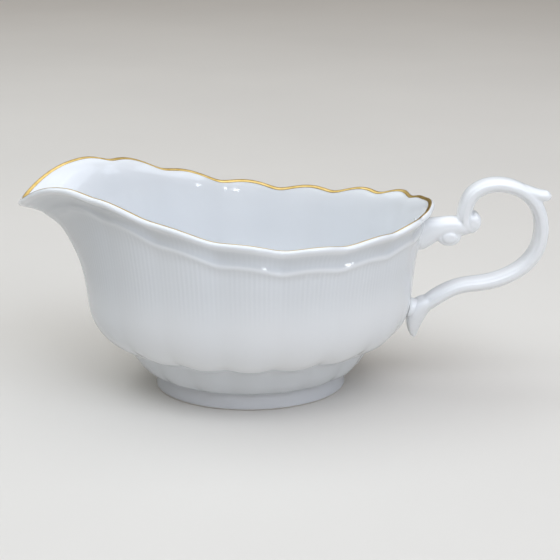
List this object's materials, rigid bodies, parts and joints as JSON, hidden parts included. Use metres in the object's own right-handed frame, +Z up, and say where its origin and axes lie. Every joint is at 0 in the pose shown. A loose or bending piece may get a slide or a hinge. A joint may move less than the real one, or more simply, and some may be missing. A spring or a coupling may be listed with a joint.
{
  "type": "gravy boat",
  "caption": "Porcelain gravy boat with a lobed bowl, long pouring spout, oval foot ring, scroll handle and a thin gilt line round the lip.",
  "frame": {"origin": "centre of the foot ring's standing face", "axes": "+Z up, +X towards the handle, -X towards the spout, mirror plane at Y = 0"},
  "size_m": [0.2254, 0.0988, 0.0966],
  "materials": {
    "porcelain": "clear gloss glaze over white porcelain",
    "foot_porcelain": "gloss glaze on the sides, bare fired porcelain on the standing edge",
    "handle_porcelain": "clear gloss glaze over white porcelain",
    "gilt": "fired liquid gold, bright with light wear"
  },
  "bodies": {
    "root": {"bowl": "porcelain", "foot_ring": "foot_porcelain", "handle": "handle_porcelain", "upper_slip_joint": "handle_porcelain", "lower_slip_joint": "handle_porcelain", "gilt_band": "gilt"}
  },
  "joints": []
}
